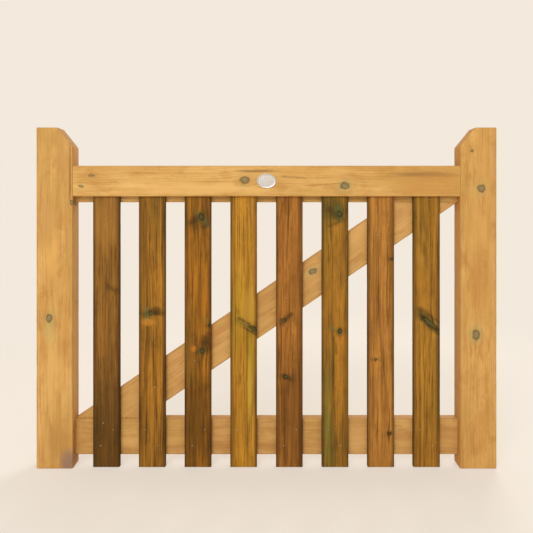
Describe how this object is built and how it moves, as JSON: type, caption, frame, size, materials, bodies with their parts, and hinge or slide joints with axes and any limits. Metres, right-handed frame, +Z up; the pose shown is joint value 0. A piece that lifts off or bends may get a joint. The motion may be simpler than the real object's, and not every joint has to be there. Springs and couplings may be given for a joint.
{
  "type": "wooden garden gate",
  "caption": "Framed wooden garden gate leaf with open stained pales, horned stiles, a grooved top rail and a diagonal brace behind.",
  "frame": {"origin": "middle of the hanging stile's outer edge face", "axes": "+X along the gate's width towards the latch stile, -Y out of the front where the pales show, +Z up"},
  "size_m": [1.2, 0.0465, 0.89],
  "materials": {
    "planed_softwood": "planed, honey gold",
    "stained_pale": "planed, brown stain",
    "blank_plate": "satin"
  },
  "bodies": {
    "root": {"hanging_stile": "planed_softwood", "latch_stile": "planed_softwood", "top_rail": "planed_softwood", "bottom_rail": "planed_softwood", "diagonal_brace": "planed_softwood", "oval_plate": "blank_plate", "pale_1": "stained_pale", "pale_2": "stained_pale", "pale_3": "stained_pale", "pale_4": "stained_pale", "pale_5": "stained_pale", "pale_6": "stained_pale", "pale_7": "stained_pale", "pale_8": "stained_pale"}
  },
  "joints": []
}
